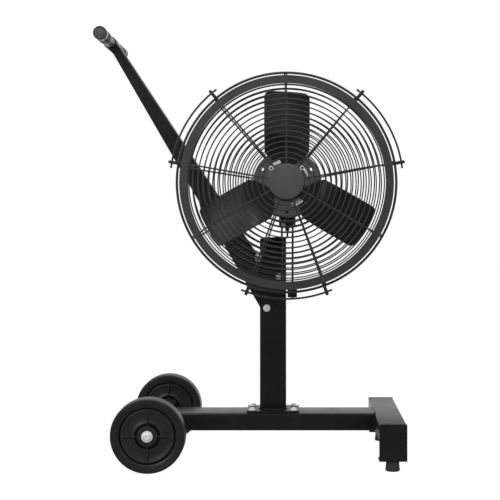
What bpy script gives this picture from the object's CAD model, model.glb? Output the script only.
import math

import bmesh
import bpy
from mathutils import Matrix, Vector


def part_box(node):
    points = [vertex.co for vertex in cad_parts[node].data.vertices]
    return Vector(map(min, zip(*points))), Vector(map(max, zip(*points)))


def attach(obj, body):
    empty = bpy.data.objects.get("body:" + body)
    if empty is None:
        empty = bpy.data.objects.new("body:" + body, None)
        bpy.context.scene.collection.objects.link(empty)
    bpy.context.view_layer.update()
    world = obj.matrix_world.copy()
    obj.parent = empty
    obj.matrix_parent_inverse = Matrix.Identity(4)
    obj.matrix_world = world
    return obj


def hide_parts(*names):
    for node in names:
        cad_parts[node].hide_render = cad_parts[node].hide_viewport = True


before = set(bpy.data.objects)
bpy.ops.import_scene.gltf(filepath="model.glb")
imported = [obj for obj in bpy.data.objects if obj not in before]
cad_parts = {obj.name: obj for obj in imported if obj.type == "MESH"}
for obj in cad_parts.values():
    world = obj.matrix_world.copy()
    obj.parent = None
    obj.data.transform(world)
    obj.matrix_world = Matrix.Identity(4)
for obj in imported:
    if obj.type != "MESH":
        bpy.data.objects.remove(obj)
scene = bpy.context.scene
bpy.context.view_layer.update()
SIDES = (("front", -1), ("rear", 1))     # what stands in pairs, and its side along Y


# ---- Camera
# It stands about three metres in front of the fan, a little above the top of the post,
# and looks straight back. The frame is shifted left and down instead of turned.
studio_camera = bpy.data.cameras.new("studio_camera")
studio_camera.sensor_width = 36
studio_camera.lens = 72
studio_camera.shift_x, studio_camera.shift_y = -0.101, -0.049
camera_stand = bpy.data.objects.new("studio_camera", studio_camera)
camera_stand.location = (0.14345, -2.92805, 0.670)
camera_stand.rotation_euler = (math.radians(90), 0, 0)
scene.collection.objects.link(camera_stand)
scene.camera = camera_stand
scene.view_settings.view_transform = "Standard"


# ---- Studio floor, white room and lamps
# A white floor that keeps a faint shadow, a white backdrop, a broad soft box overhead and
# two weaker ones in front, as for a catalogue picture of a black machine.
def add_node(tree, kind, fed=None, values=None, **settings):
    """A shader node with its settings, the sockets that feed it and its fixed values."""
    node = tree.nodes.new("ShaderNode" + kind)
    for label, value in settings.items():
        setattr(node, label, value)
    for label, value in (values or {}).items():
        node.inputs[label].default_value = value
    for label, socket in (fed or {}).items():
        tree.links.new(socket, node.inputs[label])
    return node


def white_room(tree, shadowed, white):
    """White to the camera, to polished metal and to glass, and shaded to all else."""
    path = add_node(tree, "LightPath").outputs
    shiny = add_node(tree, "Math", {0: path["Is Glossy Ray"], 1: path["Is Transmission Ray"]},
                     operation="MAXIMUM")
    seen = add_node(tree, "Math", {0: path["Is Camera Ray"], 1: shiny.outputs[0]},
                    operation="MAXIMUM")
    mixed = add_node(tree, "MixShader", {"Fac": seen.outputs[0], 1: shadowed, 2: white})
    return mixed.outputs[0]


def backdrop_strength(tree, place, front, back, dimmest, full=1.0):
    """Full strength for the camera, and for all else a fade along Y from the bright
    backdrop behind the object to the dim side of the studio in front of it."""
    split = add_node(tree, "SeparateXYZ", {"Vector": place})
    fade = add_node(tree, "MapRange", {"Value": split.outputs["Y"]},
                    {"From Min": front, "From Max": back, "To Min": dimmest, "To Max": full})
    path = add_node(tree, "LightPath")
    seen = add_node(tree, "Math", {0: path.outputs["Is Camera Ray"]}, {1: full},
                    operation="MULTIPLY")
    strongest = add_node(tree, "Math", {0: seen.outputs[0], 1: fade.outputs["Result"]},
                         operation="MAXIMUM")
    return strongest.outputs[0]


def cleared(owner):
    """The emptied node tree of a material or a world."""
    owner.use_nodes = True
    owner.node_tree.nodes.clear()
    return owner.node_tree


paper_tone, glow_share, floor_half = (0.42, 0.42, 0.42, 1), 0.82, 14
floor_paper = bpy.data.materials.new("floor_paper")
tree = cleared(floor_paper)
paper = add_node(tree, "BsdfDiffuse", values={"Color": paper_tone}).outputs[0]
floor_place = add_node(tree, "TexCoord").outputs["Object"]
floor_light = backdrop_strength(tree, floor_place, front=-0.4, back=0.7, dimmest=0.1, full=1.18)
glow = add_node(tree, "Emission", {"Strength": floor_light}).outputs[0]
lit_paper = add_node(tree, "MixShader", {1: paper, 2: glow}, {"Fac": glow_share}).outputs[0]
add_node(tree, "OutputMaterial", {"Surface": white_room(tree, paper, lit_paper)})

sheet = bmesh.new()
bmesh.ops.create_grid(sheet, x_segments=1, y_segments=1, size=floor_half)
floor_mesh = bpy.data.meshes.new("studio_floor")
sheet.to_mesh(floor_mesh)
sheet.free()
floor_mesh.materials.append(floor_paper)
studio_floor = bpy.data.objects.new("studio_floor", floor_mesh)
scene.collection.objects.link(studio_floor)

white, air_strength = (1, 1, 1, 1), 0.50
scene.world = bpy.data.worlds.new("white_studio")
tree = cleared(scene.world)
dim_air = add_node(tree, "Background", values={"Color": white, "Strength": air_strength})
direction = add_node(tree, "TexCoord").outputs["Generated"]
air_light = backdrop_strength(tree, direction, front=-0.5, back=0.3, dimmest=0.22)
white_air = add_node(tree, "Background", {"Strength": air_light}, {"Color": white})
air = white_room(tree, dim_air.outputs[0], white_air.outputs[0])
add_node(tree, "OutputWorld", {"Surface": air})


def soft_box(name, place, target, wide, tall, watts):
    """A rectangular lamp behind cloth, turned to a point on the object."""
    lamp = bpy.data.lights.new(name, "AREA")
    lamp.shape = "RECTANGLE"
    lamp.size, lamp.size_y = wide, tall
    lamp.energy = watts
    stand = bpy.data.objects.new(name, lamp)
    stand.location = place
    stand.rotation_euler = (Vector(target) - Vector(place)).to_track_quat("-Z", "Y").to_euler()
    scene.collection.objects.link(stand)


soft_box("soft_box_above", (0.2, -0.4, 3.2), (0, 0, 0.6), 3.0, 2.2, 60)
soft_box("soft_box_left", (-2.4, -2.4, 2.3), (0, 0, 0.7), 1.4, 1.8, 40)
soft_box("soft_box_right", (2.6, -2.0, 1.8), (0, 0, 0.6), 1.2, 1.8, 10)


# ---- Tyres
# Solid black rubber, moulded on the rim, with a faint ring near the shoulder and three
# shallow grooves round the tread. Each is one turned shape.
def new_group(name, numbers, given):
    """An empty node group that takes a vector and the named numbers and gives a number."""
    group = bpy.data.node_groups.new(name, "ShaderNodeTree")
    group.interface.new_socket("Vector", in_out="INPUT", socket_type="NodeSocketVector")
    for label in numbers:
        group.interface.new_socket(label, in_out="INPUT", socket_type="NodeSocketFloat")
    group.interface.new_socket(given, in_out="OUTPUT", socket_type="NodeSocketFloat")
    entry, leave = group.nodes.new("NodeGroupInput"), group.nodes.new("NodeGroupOutput")
    return group, entry.outputs, leave.inputs[given]


# Fine grain: a small even noise that bump reads as moulded or sprayed texture.
fine_grain, entry, height = new_group("fine_grain", ["Scale"], "Height")
noise = add_node(fine_grain, "TexNoise", {"Vector": entry["Vector"], "Scale": entry["Scale"]},
                 {"Detail": 3, "Roughness": 0.6})
fine_grain.links.new(noise.outputs["Fac"], height)

# Cloudiness: broad soft patches from 0 to 1, for uneven colour and gloss.
cloudiness, entry, amount = new_group("cloudiness", ["Scale"], "Amount")
noise = add_node(cloudiness, "TexNoise", {"Vector": entry["Vector"], "Scale": entry["Scale"]},
                 {"Detail": 5, "Roughness": 0.55})
spread = add_node(cloudiness, "MapRange", {"Value": noise.outputs["Fac"]},
                  {"From Min": 0.34, "From Max": 0.66})
cloudiness.links.new(spread.outputs["Result"], amount)

# Rubbing: sparse short marks from 0 to 1, where handling has dulled or bared a finish.
rubbing, entry, mask = new_group("rubbing", ["Scale", "Cover"], "Mask")
stretch = add_node(rubbing, "Mapping", {"Vector": entry["Vector"]},
                   {"Scale": (1, 1, 0.22), "Rotation": (0.3, 0.5, 0.2)})
marks = add_node(rubbing, "TexNoise", {"Vector": stretch.outputs[0], "Scale": entry["Scale"]},
                 {"Detail": 6, "Roughness": 0.7})
threshold = add_node(rubbing, "Math", {1: entry["Cover"]}, {0: 1}, operation="SUBTRACT").outputs[0]
full_mark = add_node(rubbing, "Math", {0: threshold}, {1: 0.08}, operation="ADD").outputs[0]
shaped = add_node(rubbing, "MapRange", {"Value": marks.outputs["Fac"], "From Min": threshold,
                                        "From Max": full_mark})
rubbing.links.new(shaped.outputs["Result"], mask)


def place_group(tree, group, vector, **values):
    """One use of a node group in a material, with its own numbers."""
    return add_node(tree, "Group", {"Vector": vector}, values, node_tree=group).outputs[0]


def blend_colours(tree, share, first, second):
    """A colour between two others; either may be a plain value or a socket."""
    mix = add_node(tree, "Mix", {"Factor": share}, data_type="RGBA")
    for label, value in (("A", first), ("B", second)):
        socket = next(s for s in mix.inputs if s.name == label and s.type == "RGBA")
        if isinstance(value, tuple):
            socket.default_value = (*value, 1)
        else:
            tree.links.new(value, socket)
    return next(s for s in mix.outputs if s.type == "RGBA")


def finish_material(name, colours, roughness, clouds, grain, depth,
                    specular=0.5, metallic=0.0, rub=None):
    """A surface whose colour and gloss drift a little and whose grain is in its bump.
    clouds and grain are the scales of the two, and depth is the grain's, in metres.
    rub, where given, is the bared colour, how much shows, and the marks' scale."""
    material = bpy.data.materials.new(name)
    material.use_nodes = True
    tree = material.node_tree
    place = add_node(tree, "TexCoord").outputs["Object"]
    cloud = place_group(tree, cloudiness, place, Scale=clouds)
    colour = blend_colours(tree, cloud, *colours)
    gloss = add_node(tree, "MapRange", {"Value": cloud},
                     {"To Min": roughness[0], "To Max": roughness[1]}).outputs["Result"]
    if rub:
        bared, cover, scale = rub
        marks = place_group(tree, rubbing, place, Scale=scale, Cover=cover)
        colour = blend_colours(tree, marks, colour, bared)
        gloss = add_node(tree, "Math", {0: marks, 2: gloss}, {1: 0.12},
                         operation="MULTIPLY_ADD").outputs[0]
    texture = place_group(tree, fine_grain, place, Scale=grain)
    bump = add_node(tree, "Bump", {"Height": texture}, {"Strength": 0.5, "Distance": depth})
    shader = tree.nodes["Principled BSDF"].inputs
    tree.links.new(colour, shader["Base Color"])
    tree.links.new(gloss, shader["Roughness"])
    tree.links.new(bump.outputs["Normal"], shader["Normal"])
    shader["Metallic"].default_value = metallic
    shader["Specular IOR Level"].default_value = specular
    return material


def greys(low, high, blue=0.001):
    """Two greys to drift between, with a trace more blue, or less."""
    return [(tone, tone, tone + blue) for tone in (low, high)]


def turned(outline, closed=True, steps=96):
    """A shape turned about Y from an outline of (radius, y) points, in millimetres."""
    shape = bmesh.new()
    points = [shape.verts.new((radius, y, 0)) for radius, y in outline]
    ends = list(zip(points, points[1:]))
    if closed:
        ends.append((points[-1], points[0]))
    edges = [shape.edges.new(pair) for pair in ends]
    bmesh.ops.spin(shape, geom=points + edges, cent=(0, 0, 0), axis=(0, 1, 0),
                   angle=2 * math.pi, steps=steps, use_merge=True)
    return shape


def placed(outline, y=0, side=1):
    """An outline shifted along Y, or mirrored along it where side is -1."""
    return [(radius, y + side * along) for radius, along in outline]


def both_sides(outline):
    """An outline given for one half of the width, completed with its mirror image."""
    return outline + placed(reversed(outline), side=-1)


def moved(shape, offset=(0, 0, 0), turn=0, axis="Y"):
    """The shape turned about an axis through the origin, then shifted."""
    matrix = Matrix.Translation(Vector(offset)) @ Matrix.Rotation(math.radians(turn), 4, axis)
    bmesh.ops.transform(shape, matrix=matrix, verts=shape.verts)
    return shape


def make_piece(name, shapes, material, body, stands_for=(), place=(0, 0, 0), sharp=32):
    """Shapes in millimetres round a place, joined as one named piece that rides on a body."""
    whole = bmesh.new()
    for shape in shapes:
        bmesh.ops.remove_doubles(shape, verts=shape.verts, dist=0.0005)
        bmesh.ops.recalc_face_normals(shape, faces=shape.faces)
        part = bpy.data.meshes.new("part")
        shape.to_mesh(part)
        shape.free()
        whole.from_mesh(part)
        bpy.data.meshes.remove(part)
    matrix = Matrix.Scale(0.001, 4) @ Matrix.Translation(Vector(place))
    bmesh.ops.transform(whole, matrix=matrix, verts=whole.verts)
    mesh = bpy.data.meshes.new(name)
    whole.to_mesh(mesh)
    whole.free()
    mesh.shade_smooth()
    mesh.set_sharp_from_angle(angle=math.radians(sharp))
    mesh.materials.append(material)
    made = bpy.data.objects.new(name, mesh)
    scene.collection.objects.link(made)
    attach(made, body)
    if stands_for:
        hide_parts(*stands_for)
    return made


def middle_of(node):
    """The middle of a CAD node, in millimetres."""
    low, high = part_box(node)
    return (low + high) * 500


tyre_rubber = finish_material(
    "tyre_rubber", greys(0.016, 0.023), (0.32, 0.42),
    clouds=22, grain=900, depth=0.00008, specular=0.35,
)
tread_half = [
    (76.8, 15.0), (77.2, 17.6), (79.0, 19.4), (83.0, 20.9), (88.0, 21.9), (91.6, 22.3),
    (92.2, 21.9), (92.8, 22.3), (97.4, 22.2), (99.0, 21.5), (100.4, 19.9), (101.1, 18.1),
    (101.6, 15.6), (101.6, 8.4), (100.9, 8.0), (100.9, 6.6), (101.6, 6.2), (101.6, 0.9),
    (100.9, 0.5),
]
for word, _ in SIDES:
    make_piece(
        f"solid_tyre_{word}", [turned(both_sides(tread_half), steps=144)], tyre_rubber,
        f"wheel_{word}", [f"tyre_{word}"], middle_of(f"tyre_{word}"),
    )


# ---- Wheel rims
# Black moulded plastic: a dished disc with a rolled lip under the tyre, a boss inside a
# deep groove, and four narrow ribs on each face that run from the boss to the lip.
def bevelled(shape, geom, offset, segments=2, affect="EDGES"):
    """Rounds edges, or a flat shape's corners, with the offset as the radius."""
    bmesh.ops.bevel(shape, geom=geom, offset=offset, offset_type="OFFSET", segments=segments,
                    profile=0.5, affect=affect, material=-1)


def runs_along(edge, k):
    """Whether an edge's ends lie at different places on the axis with the number k."""
    return abs(edge.verts[0].co[k] - edge.verts[1].co[k]) > 0.001


def rounded_block(low, high, long_axis, corner, ease=0.5):
    """A block whose four edges along one axis are rounded and whose ends are eased."""
    shape = bmesh.new()
    bmesh.ops.create_cube(shape, size=1)
    bmesh.ops.scale(shape, vec=Vector(high) - Vector(low), verts=shape.verts)
    bmesh.ops.translate(shape, vec=(Vector(high) + Vector(low)) / 2, verts=shape.verts)
    k = "XYZ".index(long_axis)
    bevelled(shape, [e for e in shape.edges if runs_along(e, k)], corner, 4)
    ends = [f for f in shape.faces
            if min(abs(f.calc_center_median()[k] - end[k]) for end in (low, high)) < 0.001]
    bevelled(shape, list({e for f in ends for e in f.edges}), ease)
    return shape


rim_plastic = finish_material(
    "rim_plastic", greys(0.018, 0.026), (0.36, 0.44),
    clouds=30, grain=1400, depth=0.00005, specular=0.35,
)
rim_half = [
    (12.7, 22.1), (13.3, 22.4), (26.4, 22.4), (27.6, 21.9), (28.0, 20.8), (28.2, 7.0),
    (29.2, 6.0), (33.4, 6.0), (34.3, 7.0), (34.5, 18.4), (35.3, 19.4), (37.2, 19.6),
    (42.6, 16.4), (46.0, 15.7), (58.0, 15.7), (62.0, 16.5), (67.2, 19.5), (69.2, 20.1),
    (71.2, 20.1), (72.4, 19.4), (73.0, 17.8), (73.2, 8.5), (76.7, 8.0),
]
for word, _ in SIDES:
    ribs = []
    for face in (-1, 1):
        for angle in (0, 90, 180, 270):
            low = (-1.7, min(face * 5, face * 21.2), 27.2)
            high = (1.7, max(face * 5, face * 21.2), 73.0)
            ribs.append(moved(rounded_block(low, high, "Z", 0.8, ease=0.8), turn=angle))
    make_piece(
        f"moulded_rim_{word}", [turned(both_sides(rim_half), steps=144)] + ribs, rim_plastic,
        f"wheel_{word}", [f"wheel_rim_{word}"], middle_of(f"wheel_rim_{word}"),
    )


# ---- Axle, its caps and the wheel bushes
# A turned steel axle runs through the cross tube. A bright push-on cap with a stepped
# dome grips each end, and a steel bush carries each wheel.
zinc_plate = finish_material(
    "zinc_plate", greys(0.80, 0.92, -0.02), (0.26, 0.38),
    clouds=160, grain=2600, depth=0.00003, metallic=0.12,
    rub=((0.58, 0.58, 0.56), 0.36, 300),
)
bare_steel = finish_material(
    "bare_steel", [(0.50, 0.51, 0.52), (0.62, 0.63, 0.64)], (0.28, 0.42),
    clouds=90, grain=3000, depth=0.00003, metallic=1.0,
    rub=((0.36, 0.35, 0.34), 0.40, 200),
)
cap_gap = 0.3
cap_dome = [
    (8.6, cap_gap), (15.0, cap_gap), (15.5, 0.8), (15.5, 1.6), (14.9, 2.5), (13.4, 2.9),
    (12.6, 2.5), (11.6, 2.6), (11.0, 3.3), (10.5, 5.2), (9.5, 7.0), (8.0, 7.8), (5.0, 8.0),
    (4.2, 7.5), (0, 7.4),
]


def bright_fixing(name, shapes, place, *nodes):
    """A zinc-plated piece on the frame that stands for the named nodes."""
    make_piece(name, shapes, zinc_plate, "frame", nodes, place)


for word, side in SIDES:
    low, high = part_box(f"axle_cap_{word}")
    seat = (high.y if side < 0 else low.y) * 1000
    centre = middle_of(f"axle_cap_{word}")
    cap = turned(placed(cap_dome, side=side), closed=False, steps=48)
    spot = (centre.x, seat - side * cap_gap, centre.z)
    bright_fixing(f"push_cap_{word}", [cap], spot, f"axle_cap_{word}")


def refinish(material, *nodes):
    """Gives a CAD node that stays in view its finished material."""
    for node in nodes:
        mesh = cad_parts[node].data
        mesh.materials.clear()
        mesh.materials.append(material)


refinish(bare_steel, "axle", "wheel_bush_front", "wheel_bush_rear", "bearing_front",
         "bearing_rear", "motor_shaft")


# ---- Base tubes and their welds
# Rectangular steel tube with rolled corners. The long tube butts on the axle's cross
# tube and on the foot beam, with a weld up both sides and over the top of each butt.
def wire_along(path, half, normal, sides=8):
    """A round wire swept along points that lie in one plane with the given normal."""
    shape = bmesh.new()
    normal = Vector(normal).normalized()
    points = [Vector(p) for p in path]
    frames = []
    for i, point in enumerate(points):
        ahead = points[min(i + 1, len(points) - 1)] - points[max(i - 1, 0)]
        tangent = ahead.normalized()
        across = normal.cross(tangent)
        turn = Matrix((normal, across, tangent)).transposed().to_4x4()
        frames.append(Matrix.Translation(point) @ turn)
    made = bmesh.ops.create_circle(shape, cap_ends=False, radius=half, segments=sides)
    bmesh.ops.transform(shape, matrix=frames[0], verts=made["verts"])
    loop = first = list(shape.edges)
    for before, after in zip(frames, frames[1:]):
        grown = bmesh.ops.extrude_edge_only(shape, edges=loop)["geom"]
        verts = [g for g in grown if isinstance(g, bmesh.types.BMVert)]
        loop = [g for g in grown if isinstance(g, bmesh.types.BMEdge)
                and all(v in verts for v in g.verts)]
        bmesh.ops.transform(shape, matrix=after @ before.inverted(), verts=verts)
    bmesh.ops.holes_fill(shape, edges=first + loop, sides=0)
    return shape


def weld_bead(corners, half=2.6, normal=(1, 0, 0)):
    """A weld along straight runs between corners, with a bulge every few millimetres."""
    bead_step, bulge_rate, bulge_share = 2.4, 1.31, 0.10
    beads = []
    for start, end in zip(corners, corners[1:]):
        start, end = Vector(start), Vector(end)
        count = max(int((end - start).length / bead_step), 2)
        path = [start.lerp(end, i / count) for i in range(count + 1)]
        bead = wire_along(path, half, normal)
        direction = (end - start).normalized()
        for vert in bead.verts:
            run = (vert.co - start).dot(direction)
            centre = start + direction * run
            swell = 1 + bulge_share * math.sin(run * bulge_rate) ** 2
            vert.co = centre + (vert.co - centre) * swell
        beads.append(bead)
    return beads


powder_coat = finish_material(
    "powder_coat", greys(0.0105, 0.0140, 0.0007), (0.34, 0.40),
    clouds=14, grain=420, depth=0.00012, specular=0.28,
    rub=((0.035, 0.035, 0.036), 0.33, 60),
)
cap_low, cap_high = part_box("post_cap")
post_foot = Vector(((cap_low.x + cap_high.x) * 500, (cap_low.y + cap_high.y) * 500, 0))


def frame_steel(name, shapes, *nodes, place=post_foot):
    """A powder-coated piece of the frame that stands for the named nodes."""
    make_piece(name, shapes, powder_coat, "frame", nodes, place)


tube_low, tube_high, tube_corner = 78.6, 129.4, 6
cross_left, cross_right, half_cross = -358.4, -307.6, 185
beam_left, beam_right, half_beam = 293.9, 370.1, 212.7
base_half_y, weld_gap = 50.8, 0.3
tube_welds = []
for x in (cross_right + 1, beam_left - 0.9):
    for y in (-50, 50):
        tube_welds += weld_bead([(x, y, tube_low + 6), (x, y, tube_high - 4)])
    tube_welds += weld_bead([(x, -46, tube_high), (x, 46, tube_high)], 2.2)
long_tube = rounded_block((cross_right + weld_gap, -base_half_y, tube_low),
                          (beam_left - weld_gap, base_half_y, tube_high), "X", tube_corner)
frame_steel("long_base_tube", [long_tube] + tube_welds, "base_tube")
axle_tube = rounded_block((cross_left, -half_cross, tube_low),
                          (cross_right, half_cross, tube_high), "Y", tube_corner, ease=1)
frame_steel("axle_tube", [axle_tube], "axle_cross_tube")
foot_tube = rounded_block((beam_left, -half_beam, tube_low),
                          (beam_right, half_beam, tube_high), "Y", tube_corner)
frame_steel("foot_tube", [foot_tube], "foot_beam")


# ---- End brackets of the foot beam
# Five millimetre plate bent on a press. Each one covers an end of the beam and turns in
# below it, above its rubber foot.
def thicken(shape, step):
    """Carries every face of a flat shape along a step, with walls between the two."""
    grown = bmesh.ops.extrude_face_region(shape, geom=list(shape.faces), use_keep_orig=True)["geom"]
    ahead = [g for g in grown if isinstance(g, bmesh.types.BMVert)]
    bmesh.ops.translate(shape, vec=step, verts=ahead)
    bmesh.ops.recalc_face_normals(shape, faces=shape.faces)


def ease_rims(shape, k, ease):
    """Rounds the sharp edges that lie across the axis with the number k."""
    rims = [e for e in shape.edges
            if not runs_along(e, k) and e.is_manifold and e.calc_face_angle(0) > 0.9]
    bevelled(shape, rims, ease)


def bent_plate(outline, axis, start, end, ease=0.8, hem=(), hem_radius=4):
    """A plate's edge outline carried along an axis. hem lists the bent corners by number."""
    shape = bmesh.new()
    k = "XYZ".index(axis)
    corners = []
    for point in outline:
        spot = list(point)
        spot.insert(k, start)
        corners.append(shape.verts.new(spot))
    shape.faces.new(corners)
    thicken(shape, Vector([end - start if a == axis else 0 for a in "XYZ"]))
    if hem:
        bent = [corners[i] for i in hem]
        bends = [e for e in shape.edges if runs_along(e, k) and any(v in bent for v in e.verts)]
        bevelled(shape, bends, hem_radius, 4)
    if ease:
        ease_rims(shape, k, ease)
    return shape


flange_low, flange_high = 27.9, 32.9
for word, side in SIDES:
    face, inside, flange_end = side * 218, side * 213, side * 176
    bracket_edge = [
        (face, flange_low), (face, tube_high), (inside, tube_high), (inside, flange_high),
        (flange_end, flange_high), (flange_end, flange_low),
    ]
    bracket = bent_plate(bracket_edge, "X", beam_left, beam_right, hem=(0,), hem_radius=4.5)
    bead = weld_bead([(x, inside, tube_high - 0.6) for x in (297, 367)], 1.6, (0, 1, 0))
    frame_steel(f"end_bracket_{word}", [bracket] + bead, f"foot_end_bracket_{word}")


# ---- Rubber feet
# Moulded cones on a steel stud. The stud goes up through the bracket's flange and a
# bright nut with its washer holds it there.
def hexagon(corner_radius, low, high, chamfer=1.0):
    """A six-sided head or nut along Z, its top corners turned back."""
    shape = bmesh.new()
    bmesh.ops.create_cone(shape, cap_ends=True, segments=6, radius1=corner_radius,
                          radius2=corner_radius, depth=high - low)
    bmesh.ops.translate(shape, vec=(0, 0, (high + low) / 2), verts=shape.verts)
    top = [e for e in shape.edges if all(abs(v.co.z - high) < 0.001 for v in e.verts)]
    bevelled(shape, top, chamfer)
    sides = [e for e in shape.edges if abs(e.verts[0].co.z - e.verts[1].co.z) > (high - low) * 0.5]
    bevelled(shape, sides, 0.35)
    return shape


def upright(shape):
    """A shape turned about Y, stood up so that its +y end is its top."""
    return moved(shape, turn=90, axis="X")


def washer(outer, inner, low, high):
    """A stamped ring along Z with eased rims."""
    soft = 0.3
    return upright(turned([
        (inner, low), (outer - soft, low), (outer, low + soft), (outer, high - soft),
        (outer - soft, high), (inner, high),
    ], steps=40))


def threaded_end(radius, low, high, pitch=1.25):
    """A bolt's end along Z: rings at the thread's pitch, and a blunt point."""
    rings = [(0, low), (radius, low)]
    z = low
    while z + pitch < high - 1:
        rings += [(radius, z + pitch * 0.3), (radius - pitch * 0.42, z + pitch * 0.8)]
        z += pitch
    rings += [(radius - 0.8, high - 0.6), (radius - 1.6, high), (0, high)]
    return upright(turned(rings, closed=False, steps=24))


foot_rubber = finish_material(
    "foot_rubber", greys(0.038, 0.052, 0), (0.6, 0.72),
    clouds=50, grain=1500, depth=0.0001, specular=0.3,
    rub=((0.06, 0.055, 0.05), 0.36, 120),
)
foot_cone = [
    (0, 0), (18.2, 0), (19.4, 0.5), (19.9, 1.7), (19.4, 7.0), (19.0, 7.4), (19.0, 8.4),
    (19.2, 8.9), (17.9, 25.4), (17.1, 26.9), (15.9, 27.5), (0, 27.5),
]
foot_x, foot_y = 332, 194
for word, side in SIDES:
    foot = post_foot + Vector((foot_x, side * foot_y, 0))
    make_piece(
        f"moulded_foot_{word}", [upright(turned(foot_cone, closed=False, steps=48))],
        foot_rubber, "frame", [f"rubber_foot_{word}"], foot,
    )
    stud = [washer(10.5, 4, 33.0, 34.6), hexagon(8.6, 34.6, 39.2), threaded_end(4.8, 30, 40.9)]
    bright_fixing(f"foot_stud_{word}", stud, foot)


# ---- Post, its base plate and its cap
# Upright of rectangular tube, welded all round to a thick plate that four bolts hold on
# the long tube. A pressed cap closes the top.
def flat_circle(shape, radius, segments, x=0, y=0):
    """A round outline in a flat shape that is still to be filled."""
    bmesh.ops.create_circle(shape, cap_ends=False, radius=radius, segments=segments,
                            matrix=Matrix.Translation((x, y, 0)))


def fill_plate(shape, low, high):
    """Fills flat outlines, with the holes left open, and thickens them from low to high."""
    bmesh.ops.triangle_fill(shape, use_beauty=True, use_dissolve=False, edges=list(shape.edges))
    bmesh.ops.translate(shape, vec=(0, 0, low), verts=shape.verts)
    thicken(shape, (0, 0, high - low))


def drilled_plate(width, depth, low, high, corner, holes=(), ease=0.9):
    """A flat plate in XY with rounded corners and round holes, from low to high in Z."""
    shape = bmesh.new()
    base = bmesh.ops.create_grid(shape, x_segments=1, y_segments=1, size=0.5)["verts"]
    bmesh.ops.scale(shape, vec=(width, depth, 1), verts=base)
    bevelled(shape, list(shape.verts), corner, 6, "VERTICES")
    bmesh.ops.delete(shape, geom=list(shape.faces), context="FACES_ONLY")
    for x, y, radius in holes:
        flat_circle(shape, radius, 24, x, y)
    fill_plate(shape, low, high)
    ease_rims(shape, 2, ease)
    return shape


plate_low, plate_high, plate_width, plate_depth = 129.7, 135.7, 152, 100
post_half_x, post_half_y, bolt_hole = 38.1, 25.4, 5.4
bolt_spots = [(x, y) for x in (-60, 60) for y in (-35, 35)]
post_top = cap_high.z * 1000
post_tube = rounded_block((-post_half_x, -post_half_y, plate_high - 2),
                          (post_half_x, post_half_y, post_top - 4.3), "Z", 6, ease=0.4)
post_plate = drilled_plate(plate_width, plate_depth, plate_low, plate_high, 9,
                           [(x, y, bolt_hole) for x, y in bolt_spots])
foot_weld = []
for run in (((-34, -26), (34, -26)), ((-34, 26), (34, 26)),
            ((-38.6, -21), (-38.6, 21)), ((38.6, -21), (38.6, 21))):
    foot_weld += weld_bead([(x, y, plate_high + 0.6) for x, y in run], 2.8, (0, 0, 1))
frame_steel("upright_post", [post_tube, post_plate] + foot_weld, "post")
post_lid = rounded_block((-post_half_x, -post_half_y, post_top - 4),
                         (post_half_x, post_half_y, post_top), "Z", 6, ease=1.2)
frame_steel("pressed_cap", [post_lid], "post_cap")
for i, (x, y) in enumerate(bolt_spots):
    spot = post_foot + Vector((x, y, plate_high + 0.2))
    bolt = [washer(10.4, 5, 0, 1.6), moved(hexagon(8.4, 1.6, 6.7, 0.9), turn=11 * i, axis="Z")]
    bright_fixing(f"plate_bolt_{i + 1}", bolt, spot, f"base_bolt_{i + 1}")


# ---- Handle arm, the clamp at its end and the bolts at its root
# A tapered steel box, wide where it is welded to the post and narrow at the top, where a
# round clamp holds the push bar. Two bright bolts cross the post beside it, and a nut
# sits on a short stud in the corner above the arm's root.
root_x, root_low, root_high = -38.4, 433, 573.5
arm_root = Vector((root_x, 0, (root_low + root_high) / 2))
bar_centre = Vector((-474, 0, 1202))
arm_end, arm_end_half = bar_centre + Vector((21, 0, -26)), 13.5
arm_along = (arm_end - arm_root).normalized()
arm_across = Vector((arm_along.z, 0, -arm_along.x))
upper_corner = arm_end + arm_across * arm_end_half
lower_corner = arm_end - arm_across * arm_end_half
arm_outline = [
    (root_x, root_low), (root_x, root_high), (upper_corner.x, upper_corner.z),
    (lower_corner.x, lower_corner.z),
]
arm_box = bent_plate(arm_outline, "Y", -post_half_y, post_half_y, ease=0)
long_edges = [e for e in arm_box.edges if not runs_along(e, 1) and e.calc_length() > 300]
bevelled(arm_box, long_edges, 5, 4)
arm_welds = []
for y in (-24.6, 24.6):
    arm_welds += weld_bead([(-38.8, y, 438), (-38.8, y, 569)], normal=(0, 1, 0))
arm_welds += weld_bead([(-38.8, -21, 573), (-38.8, 21, 573)], 2.2, (0, 0, 1))
frame_steel("tapered_arm", [arm_box] + arm_welds, "handle_arm")

collar_half = [(15.8, -25.4), (17.8, -25.4), (18.4, -24.8)]
collar = turned(both_sides(collar_half), steps=64)
neck_outline = []
for corner in (lower_corner, upper_corner):
    local = corner - bar_centre + arm_along * 0.3
    neck_outline.append((local.x, local.z))
for aside in (14.6, -14.6):
    local = arm_across * aside - arm_along * 10
    neck_outline.append((local.x, local.z))
clamp_neck = bent_plate(neck_outline, "Y", -post_half_y, post_half_y, ease=1.2)
frame_steel("push_bar_clamp", [collar, clamp_neck], "bar_clamp", place=post_foot + bar_centre)

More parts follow.
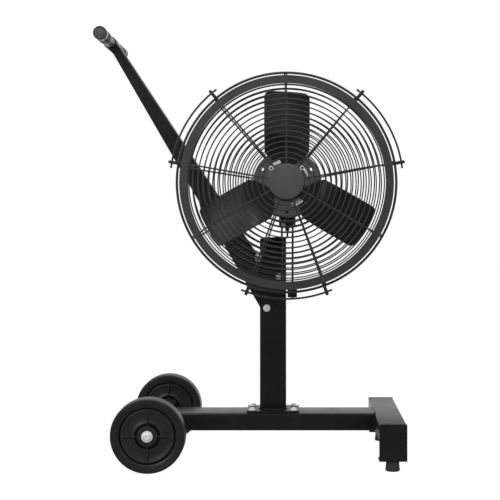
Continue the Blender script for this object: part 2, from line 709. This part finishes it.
face_off = post_half_y + 0.2
for word, x, z in (("lower", -18, 430), ("upper", 19, 521)):
    head = [washer(10.4, 5, 0, 1.8), hexagon(9.2, 1.8, 6.2, 1.1)]
    nut = [washer(10.4, 5, 0, 1.8), hexagon(9.2, 1.8, 8.6), threaded_end(4.8, 0, 10.4)]
    shapes = [moved(s, turn=90, axis="X") for s in head]
    shapes += [moved(s, (0, 2 * face_off, 0), turn=-90, axis="X") for s in nut]
    spot = post_foot + Vector((x, -face_off, z))
    bright_fixing(f"arm_fixing_{word}", shapes, spot, f"arm_bolt_{word}")
corner_stud = [washer(12.6, 6, 0, 2.4), hexagon(11.2, 2.4, 9.6, 1.2), threaded_end(5.6, 0, 13)]
corner_stud = [moved(moved(s, turn=90, axis="X"), turn=-58, axis="Z") for s in corner_stud]
bright_fixing("corner_nut", corner_stud, post_foot + Vector((-40, -27, 577)))


# ---- Push bar and grips
# Thin round steel tube through the clamp, with a short moulded sleeve at each end. A
# sleeve has fine ribs, a paler disc let into its end and a steel band at each end.
bar_paint = finish_material(
    "bar_paint", [(0.13, 0.132, 0.135), (0.18, 0.183, 0.187)], (0.36, 0.48),
    clouds=40, grain=900, depth=0.00006, metallic=0.35,
    rub=((0.33, 0.33, 0.33), 0.37, 90),
)
grip_rubber = finish_material(
    "grip_rubber", greys(0.022, 0.034), (0.44, 0.54),
    clouds=45, grain=1700, depth=0.0001, specular=0.4,
)
end_rubber = finish_material(
    "end_rubber", greys(0.048, 0.115), (0.46, 0.56),
    clouds=60, grain=1700, depth=0.0001, specular=0.35,
)
dull_zinc = finish_material(
    "dull_zinc", greys(0.34, 0.46, -0.01), (0.36, 0.46),
    clouds=120, grain=2400, depth=0.00003, metallic=0.3,
)


def bar_piece(name, outlines, side, material, slot, *nodes, closed=False, steps=64):
    """Outlines turned about the push bar, on its front side (-1) or its rear side (1)."""
    shapes = [turned(placed(outline, side=side), closed, steps) for outline in outlines]
    make_piece(name, shapes, material, "frame", nodes, post_foot + bar_centre)


bar = [(13.6, -167.9), (15.5, -167.9), (15.5, 167.9), (13.6, 167.9)]
bar_piece("push_bar_tube", [bar], 1, bar_paint, "bar_paint", "handle_bar", closed=True, steps=48)
grip_start, grip_end = 95, 170
sleeve = placed([(15.9, 0), (17.2, 0), (18.3, 1), (18.3, 5)], grip_start)
for y in range(grip_start + 9, grip_end - 28, 7):
    sleeve += placed([(18.4, 0), (17.9, 0.8), (17.9, 2.4), (18.4, 3.2)], y)
sleeve += placed([
    (18.4, -23), (17.2, -22.4), (17.2, -11.6), (18.4, -11), (18.4, -3), (18.9, -2), (18.9, 1),
    (18.0, 2.6), (17.0, 2.8), (16.0, 2.4), (15.6, 0.4), (0, 0.4),
], grip_end)
end_disc = placed([(0, 0.2), (15.3, 0.2), (15.3, 1.3), (14.7, 2.0), (9, 2.3), (0, 2.4)], grip_end)
outer_band = placed([(16.9, -22.2), (18.2, -22.2), (18.2, -11.8), (16.9, -11.8)], grip_end)
inner_band = placed([(15.6, -8.4), (17.0, -8.4), (17.5, -7.8), (17.5, -0.6), (17.0, -0.2),
                     (15.6, -0.2)], grip_start)
for word, side in SIDES:
    bar_piece(f"moulded_grip_{word}", [sleeve], side, grip_rubber, "grip_rubber", f"grip_{word}")
    bar_piece(f"grip_end_{word}", [end_disc], side, end_rubber, "grip_rubber")
bands = [placed(band, side=side) for _, side in SIDES for band in (outer_band, inner_band)]
bar_piece("grip_bands", bands, 1, dull_zinc, "zinc", closed=True)


# ---- Tilt hanger, pivot bolt and nut
# An angle of steel plate welded on the post's cap carries the fan head. A thick bolt
# passes through two lugs and its leg, and the nut is pulled tight so that friction holds
# the tilt.
fan_axis = middle_of("badge_disc")
fan_axis = Vector((fan_axis.x, post_foot.y, fan_axis.z))
hanger_x = fan_axis.x - post_foot.x
hanger_half = 2.6
pivot_y, pivot_z, lug_radius = -8, 682, 16


def lug_arc(z, first, last, steps):
    """Points (y, z) of a lug's round end, from one angle to another about the pivot's y."""
    angles = [math.radians(first + (last - first) * i / steps) for i in range(steps + 1)]
    return [(pivot_y + lug_radius * math.cos(a), z + lug_radius * math.sin(a)) for a in angles]


leg_outline = [(pivot_y + lug_radius, post_top + 6)] + lug_arc(pivot_z, 0, 180, 14)
leg_outline.append((pivot_y - lug_radius, post_top + 6))
hanger_leg = bent_plate(leg_outline, "X", hanger_x - hanger_half, hanger_x + hanger_half)
foot_left, foot_right = hanger_x + hanger_half - 72, hanger_x + hanger_half
hanger_foot = bent_plate(
    [(foot_left, post_top + 0.3), (foot_right, post_top + 0.3), (foot_right, post_top + 8),
     (foot_right - 2 * hanger_half, post_top + 8), (foot_right - 2 * hanger_half, post_top + 4.3),
     (foot_left, post_top + 4.3)],
    "Y", pivot_y - lug_radius, pivot_y + lug_radius, ease=0.7, hem=(1,), hem_radius=3.6,
)
hanger_bead = weld_bead([(x, -24.2, post_top + 0.6) for x in (foot_left + 2, foot_right - 9)],
                        1.5, (0, 0, 1))
frame_steel("hanger", [hanger_leg, hanger_foot] + hanger_bead, "hanger_plate")
pivot = post_foot + Vector((hanger_x, pivot_y, pivot_z))
lug_inner, lug_outer = hanger_half + 0.4, hanger_half + 3.6
bolt_head, nut_face = (-lug_outer - 0.4, 0, 0), (lug_outer + 0.4, 0, 0)
tilt_bolt = [moved(hexagon(10.4, 0, 7.3, 1.2), bolt_head, turn=-90),
             moved(threaded_end(5.9, 0, 26, 1.5), bolt_head, turn=90)]
bright_fixing("tilt_bolt", tilt_bolt, pivot, "pivot_bolt")
tilt_nut = [moved(washer(12.2, 6, 0, 1.8), nut_face, turn=90),
            moved(hexagon(10.3, 1.8, 9.8, 1.2), nut_face, turn=90)]
bright_fixing("tilt_nut", tilt_nut, pivot, "pivot_nut")


# ---- Front guard
# Round steel wire: fourteen rings over a nearly flat face, a small ring under the badge,
# an edge ring and a heavy rim, all welded to nine spokes inside them, then powder coated.
def fan_piece(name, shapes, material, slot, *nodes, body="fan_head", sharp=32):
    """A piece built about the fan's axis that stands for the named nodes."""
    make_piece(name, shapes, material, body, nodes, fan_axis, sharp)


def about_axis(angle, radius, y):
    """The point at an angle and a radius about Y, counted from +X towards +Z."""
    return radius * math.cos(math.radians(angle)), y, radius * math.sin(math.radians(angle))


def wire_ring(radius, y, half, steps=120, sides=8):
    """A hoop of round wire about Y."""
    corners = [about_axis(360 * i / sides, half, 0) for i in range(sides)]
    return turned([(radius + out, y + along) for out, _, along in corners], steps=steps)


guard_coat = finish_material(
    "guard_coat", greys(0.026, 0.033), (0.36, 0.44),
    clouds=16, grain=620, depth=0.00008, specular=0.4,
)
ring_wire, spoke_wire, rim_wire = 1.8, 2.25, 3.5     # each wire's radius
rim_y, rim_radius, edge_radius = -184.2, 301.3, 268.5
face_flat, face_shoulder, face_rise = 236.5, 32, 60


def between(start, end, share):
    """The value a share of the way from start to end."""
    return start + (end - start) * share


def face_y(r):
    """The front face: nearly flat, falling a little to a round shoulder at its edge."""
    if r < face_flat:
        return rim_y - face_rise - 3 + 3 * (r / face_flat) ** 2
    return rim_y - face_rise * math.sqrt(max(1 - ((r - face_flat) / face_shoulder) ** 2, 0))


def spokes(points, first):
    """Nine wires through points (radius, y), the first of them at an angle about Y."""
    wires = []
    for angle in range(first, first + 360, 40):
        path = [about_axis(angle, r, y) for r, y in points]
        wires.append(wire_along(path, spoke_wire, about_axis(angle + 90, 1, 0)))
    return wires


badge_ring, first_ring, last_ring, spoke_inset = 40, 63.6, 251.3, 2.6
hoops = [wire_ring(badge_ring, face_y(badge_ring), ring_wire, 64)]
for k in range(14):
    r = between(first_ring, last_ring, k / 13)
    hoops.append(wire_ring(r, face_y(r), ring_wire, 68 + 8 * k))
hoops += [wire_ring(edge_radius, rim_y, ring_wire, 180),
          wire_ring(rim_radius, rim_y, rim_wire, 200, sides=12)]
spoke_line = [(r, face_y(r) + spoke_inset)
              for r in (badge_ring, 80, 120, 160, 200, 225, 236, 243)]
for k in range(7):
    angle = math.radians(72 - 12 * k)
    spoke_line.append((face_flat + (face_shoulder - 2.4) * math.cos(angle),
                       rim_y - (face_rise - spoke_inset) * math.sin(angle)))
spoke_line += [(268.2, rim_y + 0.6), (274, rim_y + 0.8), (rim_radius, rim_y + 0.8)]
fan_piece("front_wire_guard", hoops + spokes(spoke_line, 10), guard_coat, "guard_coat",
          "front_guard", sharp=50)


# ---- Rear guard
# The same wire: a throat of two rings on the mount, fourteen rings on a nearly flat
# face behind the blades, then five up the side wall, on nine spokes up to the rim.
hoops = [wire_ring(76, -40.9, ring_wire, 80), wire_ring(85, -70, ring_wire, 84)]
for k in range(14):
    r, y = between(95.6, 281.3, k / 13), between(-98, -104, k / 13)
    hoops.append(wire_ring(r, y, ring_wire, 90 + 6 * k))
for k in range(1, 6):
    r, y = between(288, 291, k / 5), between(-104, -176, k / 5)
    hoops.append(wire_ring(r, y, ring_wire, 180))
rear_line = [(77.5, -39.4), (80.2, -46), (87.6, -69.2), (94.0, -87.5), (97.6, -94), (103, -95.6),
             (281.6, -101.4), (286.4, -103.8), (290.0, -111.5), (291.8, -125),
             (294.2, -174), (296.5, -179.4), (rim_radius, -181.2)]
fan_piece("rear_wire_guard", hoops + spokes(rear_line, 11), guard_coat, "guard_coat",
          "rear_guard", sharp=50)


# ---- Band ring and badge disc
# A flat steel band rolled into a ring inside the rim, with eased edges, and a plain
# pressed disc, slightly domed, over the guard's middle.
band_coat = finish_material(
    "band_coat", greys(0.052, 0.063), (0.38, 0.46),
    clouds=12, grain=620, depth=0.00008, specular=0.4,
)
band_edge = [(272.4, -190.2), (294.0, -190.2), (294.5, -189.7), (294.5, -188.7),
             (294.0, -188.2), (272.4, -188.2), (271.9, -188.7), (271.9, -189.7)]
fan_piece("flat_band", [turned(band_edge, steps=200)], band_coat, "guard_coat", "band_ring")
disc_coat = finish_material(
    "disc_coat", greys(0.074, 0.088), (0.42, 0.5),
    clouds=18, grain=800, depth=0.00008, specular=0.35,
)
disc_face = [(0, -252.2), (20, -252.05), (36, -251.6), (44, -250.9), (46.6, -250.5),
             (47.7, -250.0), (48.0, -249.5), (47.4, -249.1), (0, -249.1)]
fan_piece("plain_badge", [turned(disc_face, closed=False)], disc_coat, "guard_coat", "badge_disc")


# ---- Rods outside the rim
# Three arcs of wire that stand off the rim, each welded to two clips. A clip is a short
# bent strap that a small screw pinches on the rim wire.
rod_radius, rod_wire, clips_apart, rod_past_clip = 320, 2.75, 40, 3
for word, first in (("right", 10), ("left", 130), ("lower", 250)):
    start, span = first - rod_past_clip, clips_apart + 2 * rod_past_clip
    arc = [about_axis(start + span * i / 40, rod_radius, rim_y + 1.2) for i in range(41)]
    shapes = [wire_along(arc, rod_wire, (0, 1, 0), sides=10)]
    for angle in (first, first + clips_apart):
        strap = rounded_block((297.6, -188.2, -4.6), (326, -179.6, 4.6), "X", 1.2, ease=0.8)
        tab = rounded_block((293.6, -179.9, -4.6), (304, -176.4, 4.6), "X", 0.9, ease=0.6)
        screw = moved(hexagon(4.4, 0, 3.4, 0.6), (326, -183.6, 0), turn=90)
        shapes += [moved(shape, turn=-angle) for shape in (strap, tab, screw)]
    fan_piece(f"stand_off_rod_{word}", shapes, guard_coat, "guard_coat", f"rim_rod_{word}")


# ---- Motor
# A rolled steel shell with pressed end covers, four long screws through the rear one
# and a ribbed dome over its bearing. The core and windings inside are plain rings.
motor_shell = [
    (65, -95.8), (69.2, -95.8), (70, -95.0), (70, -90), (69.4, -89), (69.4, -84), (70, -83),
    (70, -1), (69.4, 0), (69.4, 5), (70, 6), (70, 11.2), (69.2, 12), (65, 12),
]
fan_piece("motor_shell", [turned(motor_shell, steps=120)], powder_coat, "powder_coat",
          "motor_housing")
front_cover = [
    (17.8, -102.3), (24, -102.3), (26, -101.2), (58, -101.2), (62, -102.0), (67, -102.0),
    (69.4, -100.6), (70, -98.6), (70, -96.3), (23.8, -96.3), (23.8, -88.3), (17.8, -88.3),
]
fan_piece("front_end_cover", [turned(front_cover, steps=120)], powder_coat, "powder_coat",
          "motor_front_cover")
rear_cover = [
    (23.8, 3.3), (23.8, 12.3), (70, 12.3), (70, 15.0), (69.2, 16.6), (66, 17.6), (60.5, 19.6),
    (56, 20.2), (34, 20.6), (30, 22.0), (27, 24.0), (0, 24.3), (0, 21.3), (17.8, 21.3),
    (17.8, 3.3),
]
cooling_ribs = [
    moved(rounded_block((31, 17.5, -1.4), (57, 22.6, 1.4), "X", 1.0, ease=0.6), turn=20 + 40 * k)
    for k in range(9)
]
fan_piece("rear_end_cover", [turned(rear_cover, closed=False, steps=120)] + cooling_ribs,
          powder_coat, "powder_coat", "motor_rear_cover")
screws = []
for angle in (45, 135, 225, 315):
    spot = about_axis(angle, 62.5, 18.4)
    screws.append(moved(hexagon(4.6, 0, 3.6, 0.5), spot, turn=-90, axis="X"))
fan_piece("cover_screws", screws, zinc_plate, "zinc")

steel_sheets = finish_material(
    "steel_sheets", [(0.13, 0.12, 0.11), (0.20, 0.19, 0.18)], (0.5, 0.62),
    clouds=70, grain=2200, depth=0.0001, metallic=0.6,
)
refinish(steel_sheets, "stator", "rotor_core")


# ---- Ring plate, struts and saddle
# A plate ring round the motor carries the rear guard. The tab below it has dark bolts, a
# boss and two lugs for the tilt pivot, and two struts run from it to the lower rim.
ring_face = [(70.6, -39), (78.4, -39), (79, -38.4), (79, -35.6), (78.4, -35), (70.6, -35)]
tab_low, tab_high, tab_half = -121, -76, 24
tab_front, tab_back = 35, 39
tab = drilled_plate(2 * tab_half, tab_high - tab_low, tab_front, tab_back, 5, ease=0.7)
tab = moved(tab, (0, 0, (tab_high + tab_low) / 2), turn=90, axis="X")
ring = turned(ring_face, steps=120)
fan_piece("mount_ring", [ring, tab], disc_coat, "powder_coat", "ring_plate")


def on_tab(shapes, x, y, z):
    """Shapes made along Z, laid against the tab so that their tops face the front."""
    return [moved(shape, (x, y, z), turn=90, axis="X") for shape in shapes]


shapes = []
lug_top, lug_low = -75, pivot_z - fan_axis.z
outline = [(-38, lug_top), (-38, lug_low)] + lug_arc(lug_low - 13, 215, 380, 12) + [(-12, lug_top)]
for x in (-lug_outer, lug_inner):
    shapes.append(bent_plate(outline, "X", x, x + lug_outer - lug_inner, ease=0.5))
boss = turned([(2.6, -42.4), (3.4, -44.4), (5.4, -44.4), (6.0, -43.8), (6.4, -41.2),
               (7.4, -40.6), (7.4, -tab_back), (0, -tab_back), (0, -42.4)], steps=40)
shapes.append(moved(boss, (1.8, 0, -115.2)))
for x in (-13, 13):
    head = [washer(6.2, 2.6, 0, 1.2), moved(hexagon(5.0, 1.2, 4.6, 0.8), turn=14, axis="Z")]
    shapes += on_tab(head, x, -39.8, -98.2)
shapes += on_tab([washer(3.2, 0.8, 0, 1.6)], 9.9, -38.9, -116.6)
fan_piece("tilt_lugs", shapes, powder_coat, "powder_coat")
tab_bolt = [washer(6.8, 3, 0, 1.2), hexagon(5.4, 1.2, 5.4, 0.8)]
shapes = on_tab([washer(7.2, 3, 0, 0.8)], -13, -38.9, -101.6)
shapes += on_tab(tab_bolt, -10.6, -38.9, -114.4)
shapes.append(rounded_block((17.0, -41.2, -119.4), (19.6, -38.9, -113.2), "Z", 0.8, ease=0.6))
fan_piece("tab_bolts", shapes, zinc_plate, "zinc")

strut_path = [
    (-31.7, -100.0), (-31.7, -118.0), (-32.3, -122.2), (-33.9, -127.6), (-65.6, -206.4),
    (-95.6, -281.0), (-98.4, -287.0), (-102.4, -291.6), (-107.4, -294.8), (-113.4, -296.4),
    (-121.0, -296.8), (-173, -296.8),
]
for word, x in (("left", -15.6), ("right", 15.6)):
    strut = wire_along([(x, y, z) for y, z in strut_path], 3.0, (1, 0, 0), sides=12)
    fan_piece(f"bent_strut_{word}", [strut], powder_coat, "guard_coat", f"strut_{word}", sharp=50)

low, high = (corner * 1000 - fan_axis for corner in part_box("strut_clamp"))
low.z, high.z = low.z - 2.5, high.z + 5.5
saddle = rounded_block(low, high, "Y", 2.5, ease=1.2)
screw_spot = ((low.x + high.x) / 2, (low.y + high.y) / 2, low.z)
saddle_screw = [moved(shape, screw_spot, turn=180, axis="X")
                for shape in (washer(6.5, 3, 0, 1.2), hexagon(5.4, 1.2, 4.6, 0.7))]
fan_piece("cage_saddle", [saddle], powder_coat, "powder_coat", "strut_clamp")
fan_piece("saddle_screw", saddle_screw, zinc_plate, "zinc")


# ---- Speed control
# A moulded box saddles the motor behind the cage. Its rear cover has four screws and a
# pointer knob that turns over a moulded dial ring; a ribbed gland lets the lead in.
box_plastic = finish_material(
    "box_plastic", greys(0.012, 0.018), (0.46, 0.56),
    clouds=35, grain=1100, depth=0.0001, specular=0.4,
)
box_shape = rounded_block((-38, -34, 66), (38, 10, 112), "Y", 5, ease=1.0)
fan_piece("switch_box", [box_shape], box_plastic, "box_plastic", "control_box")
knob_height = 90
cover = rounded_block((-38, 10.3, 72), (38, 12.8, 112), "Y", 5, ease=0.8)
dial = turned([(18.4, 12.8), (21.6, 12.8), (21.6, 13.3), (21.2, 13.7), (18.8, 13.7),
               (18.4, 13.3)], steps=64)
dial_parts = [cover, moved(dial, (0, 0, knob_height))]
for angle in (0, 45, 90, 135):
    tick = rounded_block((22.4, 12.6, -0.7), (26.2, 13.5, 0.7), "X", 0.3, ease=0.3)
    dial_parts.append(moved(tick, (0, 0, knob_height), turn=angle - 90))
fan_piece("switch_cover", dial_parts, box_plastic, "box_plastic", "control_box_cover")
pins = [moved(washer(2.8, 0.9, 0, 1.1), (x, 12.8, z), turn=-90, axis="X")
        for x in (-33, 33) for z in (77, 107)]
fan_piece("cover_pins", pins, zinc_plate, "zinc")

knob_face = 13.4
knob_body = [(4, 4.9)] + placed([(4, 0), (17, 0), (17, 3.6), (16.4, 4.6), (14.4, 11.6),
                                 (13.4, 13), (0, 13)], knob_face)
knob_parts = [turned(knob_body, closed=False, steps=60),
              rounded_block((-3, knob_face + 6, -13), (3, knob_face + 17, 12), "Z", 1.4, ease=1.0)]
for angle in range(0, 360, 30):
    flute = rounded_block((14.9, knob_face + 3.4, -1), (16.8, knob_face + 9.5, 1), "Y", 0.6,
                          ease=0.4)
    knob_parts.append(moved(flute, turn=angle))
make_piece("pointer_knob", knob_parts, box_plastic, "speed_knob", ["speed_knob"],
           fan_axis + Vector((0, 0, knob_height)))

gland_outline = [(6.6, 5.2), (6.6, 0), (9.0, 0), (9.0, -6.6), (8.2, -7.8)]
for k in range(4):
    gland_outline += placed([(7.0, 0), (6.2, -0.7), (6.2, -1.3), (6.9, -2.0)], -9.0 - 2.4 * k)
gland_outline += [(5.6, -20), (4.2, -20), (3.6, -19.2), (0, -19.2)]
gland = turned(gland_outline, closed=False, steps=40)
moved(gland, (-38.3, -12, knob_height), turn=-90, axis="Z")
fan_piece("lead_gland", [gland], box_plastic, "box_plastic", "cable_gland")


# ---- Hub disc with its screws and keepers
# A pressed disc, dished in two shallow steps, with three sight holes, one of them plugged.
# Bright ring-headed screws clamp the blades to it under a dark plate, and three bright
# strips keep the screws from turning.
hub_paint = finish_material(
    "hub_paint", greys(0.088, 0.118), (0.40, 0.5),
    clouds=26, grain=520, depth=0.00016, specular=0.4,
)
hub_outer, hub_inner, hub_back, hub_front, hub_face = 92.6, 73.4, -120.4, -122.8, -124.0
hole_circle, sight_hole = 80, 4.8
hub_plate = bmesh.new()
flat_circle(hub_plate, hub_outer, 120)
for angle in (30, 150, 270):
    x, _, z = about_axis(angle, hole_circle, 0)
    flat_circle(hub_plate, sight_hole, 28, x, z)
flat_circle(hub_plate, hub_inner, 96)
fill_plate(hub_plate, -hub_back, -hub_front)
moved(hub_plate, turn=90, axis="X")
hub_rolled_edge = [(92.4, hub_front), (94.2, -123.6), (95.0, hub_front), (95.0, -120.6),
                   (94.0, -120.2), (92.4, hub_back)]
hub_middle = [
    (7.9, -134), (18.6, -134), (20, -132.8), (20.4, -126.4), (22, -124.6), (59.6, -124.6),
    (60.8, -124.2), (61.4, -123.6), (72.0, -123.6), (73.0, -123.3), (73.6, -122.6),
    (73.6, hub_back), (24, hub_back), (24, -108.4), (7.9, -108),
]
shapes = [hub_plate, turned(hub_rolled_edge, steps=120), turned(hub_middle, steps=120)]
fan_piece("pressed_hub", shapes, hub_paint, "blade_paint", "hub_disc", body="rotor")
big_screws, screw_circle, strip_circle = (44.9, 136.2), 61, 63
screw_spots = [(angle, screw_circle, 1) for angle in big_screws]
shapes = []
for angle, radius, size in screw_spots + [(17.9, 65, 0.6), (285.0, screw_circle, 0.6)]:
    ring = [(3.2, -4.4), (3.8, -5.2), (6.0, -5.2), (7.0, -4.2), (7.2, 0), (3.2, 0)]
    ring = turned([(r * size, y) for r, y in ring], steps=32)
    shapes.append(moved(ring, about_axis(angle, radius, hub_face)))
for angle, half, wide in ((116.0, 11, 10), (29.5, 12, 8), (-58.5, 12, 9.4)):
    strip = rounded_block((strip_circle - wide / 2, -131.0, -half),
                          (strip_circle + wide / 2, hub_face, half), "Z", 1.0, ease=0.8)
    shapes.append(moved(strip, turn=-angle))
fan_piece("hub_screws", shapes, zinc_plate, "zinc", body="rotor")
clamp_plate = turned([(22.4, -124.7), (49.2, -124.7), (50.0, -124.9), (50.0, -125.9),
                      (49.2, -126.4), (22.4, -126.4)])
hole_plug = turned([(0, -119.4), (5.4, -119.4), (5.4, -120.1), (0, -120.1)], closed=False,
                   steps=32)
shapes = [clamp_plate, moved(hole_plug, (0, 0, -hole_circle))]
for angle in big_screws:
    socket = turned([(0, -1.6), (0.9, -1.6), (1.2, -2.4), (3.3, -2.4), (3.3, 0.2), (0, 0.2)],
                    closed=False, steps=24)
    shapes.append(moved(socket, about_axis(angle, screw_circle, hub_face)))
fan_piece("hub_clamp_plate", shapes, powder_coat, "powder_coat", body="rotor")


# ---- Blades
# Each is one sheet of steel, pressed so that it lies flat on the hub at its root, then
# lifts, twists to its pitch and cups, with rounded tip corners and a smooth edge.
blade_paint = finish_material(
    "blade_paint", greys(0.013, 0.019), (0.36, 0.44),
    clouds=18, grain=700, depth=0.00008, specular=0.4,
)
blade_root, blade_full, blade_tip, tip_corner, sheet_thick = 48, 88, 256, 12, 2.4
root_half_width, full_half_width = 12, 62.5
lift_start, lift_end, root_y, lifted_y = 83, 140, -125.6, -142
blade_pitch, blade_cup, arc_start = -25, 9, 126


def share_between(value, low, high):
    """How far a value is on its way from low to high, from 0 to 1."""
    return min(max((value - low) / (high - low), 0), 1)


def ease_in(value, low, high):
    """The same with a soft start and a soft end."""
    share = share_between(value, low, high)
    return share * share * (3 - 2 * share)


def blade_half_width(r):
    """Half of the blade's width, seen from the front: round at the root, full beyond."""
    widening = 1 - (1 - share_between(r, blade_root, blade_full)) ** 1.4
    half = between(root_half_width, full_half_width, widening)
    past = max(r - (blade_tip - tip_corner), 0)
    return half - tip_corner + math.sqrt(max(tip_corner ** 2 - past ** 2, 0))


def blade_point(r, s):
    """A point of the sheet at a radius, s across it from -1 to 1."""
    grow = ease_in(r, lift_start, lift_end)
    pitch = math.radians(blade_pitch) * grow
    middle = between(root_y, lifted_y, grow)
    across = s * blade_half_width(r) / math.cos(pitch)
    cup = blade_cup * grow * (s * s - 0.5)
    aside = across * math.cos(pitch) + cup * math.sin(pitch)
    bend = ease_in(r, arc_start, blade_tip - tip_corner)
    return Vector((
        r - bend * (r - math.sqrt(r * r - aside * aside)),
        middle + across * math.sin(pitch) - cup * math.cos(pitch),
        aside,
    ))


for number, angle in enumerate((90, 210, 330)):
    sheet = bmesh.new()
    bmesh.ops.create_grid(sheet, x_segments=56, y_segments=22, size=1)
    for vert in sheet.verts:
        outward = 1 - (1 - (vert.co.x + 1) / 2) ** 1.35
        vert.co = blade_point(between(blade_root, blade_tip, outward), vert.co.y)
    bmesh.ops.recalc_face_normals(sheet, faces=sheet.faces)
    bmesh.ops.solidify(sheet, geom=list(sheet.faces), thickness=sheet_thick)
    fan_piece(f"pressed_blade_{number + 1}", [moved(sheet, turn=-angle)], blade_paint,
              "blade_paint", f"blade_{number + 1}", body="rotor", sharp=40)
